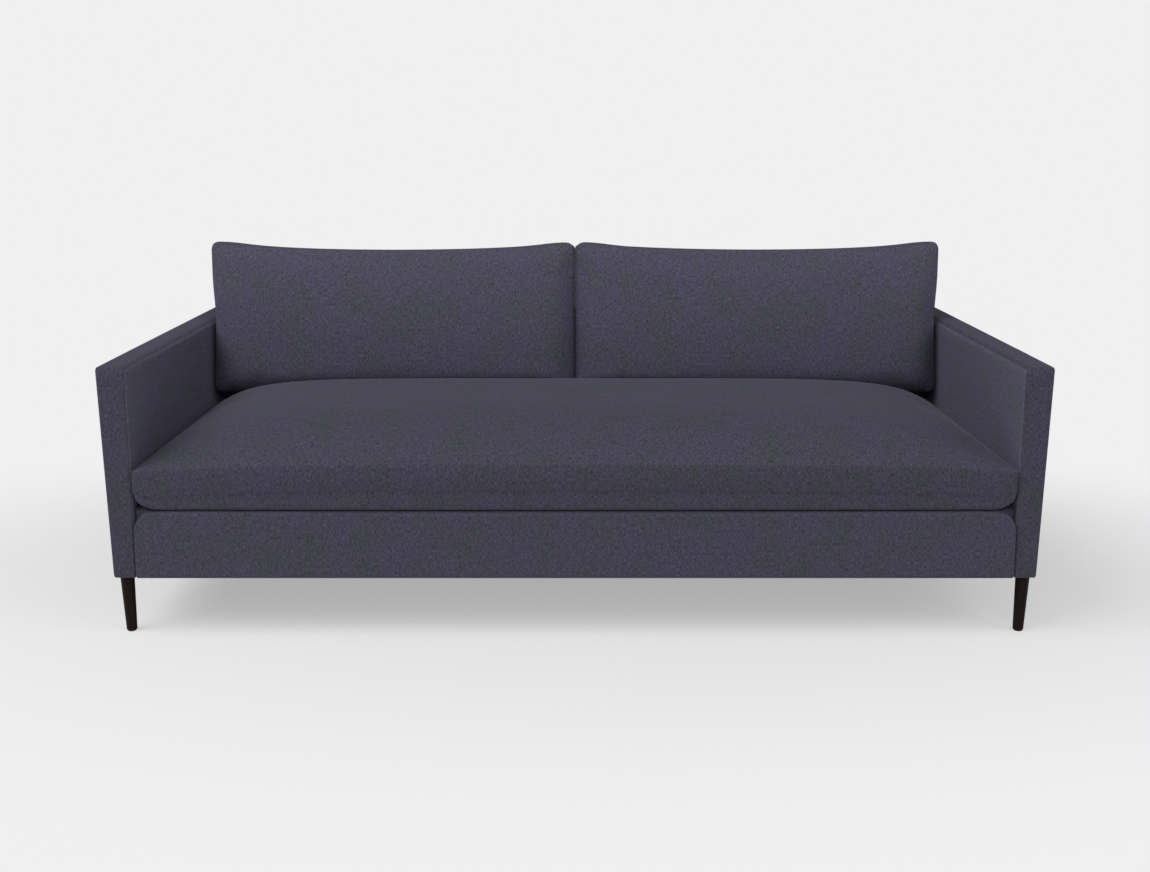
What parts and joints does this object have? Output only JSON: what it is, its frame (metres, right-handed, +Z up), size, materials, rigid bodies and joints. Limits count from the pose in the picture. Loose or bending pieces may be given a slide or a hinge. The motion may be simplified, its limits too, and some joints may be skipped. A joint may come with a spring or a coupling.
{
  "type": "sofa",
  "caption": "Wide sofa with slim straight arms, a full-width bench seat cushion that pulls out, loose back cushions that lift off, and tapered dark wooden legs.",
  "frame": {"origin": "on the floor, under the middle of the sofa's bounding box", "axes": "+X along the sofa to the viewer's right when facing it, +Y from its front to its back, +Z up"},
  "size_m": [2.134, 0.979, 0.8462],
  "materials": {
    "upholstery": "brushed chenille",
    "leg_wood": "satin espresso stain",
    "frame_timber": "sawn",
    "hardboard": "smooth board",
    "foam": "open cell foam",
    "fibre": "fibre fill",
    "felt": "needled felt",
    "webbing": "woven elastic",
    "dust_cloth": "thin nonwoven",
    "zip_tape": "woven tape",
    "zip_metal": "satin",
    "steel": "zinc plated",
    "glide_plastic": "moulded"
  },
  "bodies": {
    "frame": {"back_backing_panel": "hardboard", "back_pad": "foam", "back_top_rail": "frame_timber", "back_tuck_rail": "frame_timber", "back_uprights": "frame_timber", "back_webbing": "webbing", "corner_blocks": "frame_timber", "corner_screws": "steel", "deck_cover": "upholstery", "deck_felt": "felt", "deck_pad": "foam", "dust_cover": "dust_cloth", "foot_glides": "glide_plastic", "front_border_cover": "upholstery", "front_border_pad": "foam", "front_rail": "frame_timber", "inside_back_cover": "upholstery", "left_arm_cover": "upholstery", "left_arm_front_post": "frame_timber", "left_arm_pad": "foam", "left_arm_panel": "hardboard", "left_arm_rear_post": "frame_timber", "left_arm_top_rail": "frame_timber", "left_front_leg": "leg_wood", "left_rear_leg": "leg_wood", "left_side_rail": "frame_timber", "leg_inserts": "steel", "leg_studs": "steel", "outside_back_panel": "upholstery", "rear_rail": "frame_timber", "right_arm_cover": "upholstery", "right_arm_front_post": "frame_timber", "right_arm_pad": "foam", "right_arm_panel": "hardboard", "right_arm_rear_post": "frame_timber", "right_arm_top_rail": "frame_timber", "right_front_leg": "leg_wood", "right_rear_leg": "leg_wood", "right_side_rail": "frame_timber", "seat_stretchers": "frame_timber", "seat_webbing": "webbing", "webbing_clamps": "steel"},
    "seat_cushion": {"seat_cushion_cover": "upholstery", "seat_cushion_wrap": "fibre", "seat_cushion_core": "foam", "seat_zip_chain": "zip_tape"},
    "left_back_cushion": {"left_back_cushion_cover": "upholstery", "left_back_cushion_fill": "fibre", "left_back_zip_chain": "zip_tape"},
    "right_back_cushion": {"right_back_cushion_cover": "upholstery", "right_back_cushion_fill": "fibre", "right_back_zip_chain": "zip_tape"},
    "seat_zip": {"seat_zip_slider": "zip_metal"},
    "left_back_zip": {"left_back_zip_slider": "zip_metal"},
    "right_back_zip": {"right_back_zip_slider": "zip_metal"}
  },
  "joints": [
    {"name": "seat_cushion_pull", "type": "slide", "parent": "frame", "child": "seat_cushion", "axis": [0, -1, 0], "range_m": [0, 0.85]},
    {"name": "left_back_cushion_lift", "type": "slide", "parent": "frame", "child": "left_back_cushion", "axis": [0, 0.1196, 0.9928], "range_m": [0, 0.45]},
    {"name": "right_back_cushion_lift", "type": "slide", "parent": "frame", "child": "right_back_cushion", "axis": [0, 0.1196, 0.9928], "range_m": [0, 0.45]},
    {"name": "seat_zip_slide", "type": "slide", "parent": "seat_cushion", "child": "seat_zip", "axis": [-1, 0, 0], "range_m": [0, 1.61]},
    {"name": "left_back_zip_slide", "type": "slide", "parent": "left_back_cushion", "child": "left_back_zip", "axis": [1, 0, 0], "range_m": [0, 0.75]},
    {"name": "right_back_zip_slide", "type": "slide", "parent": "right_back_cushion", "child": "right_back_zip", "axis": [-1, 0, 0], "range_m": [0, 0.75]}
  ]
}
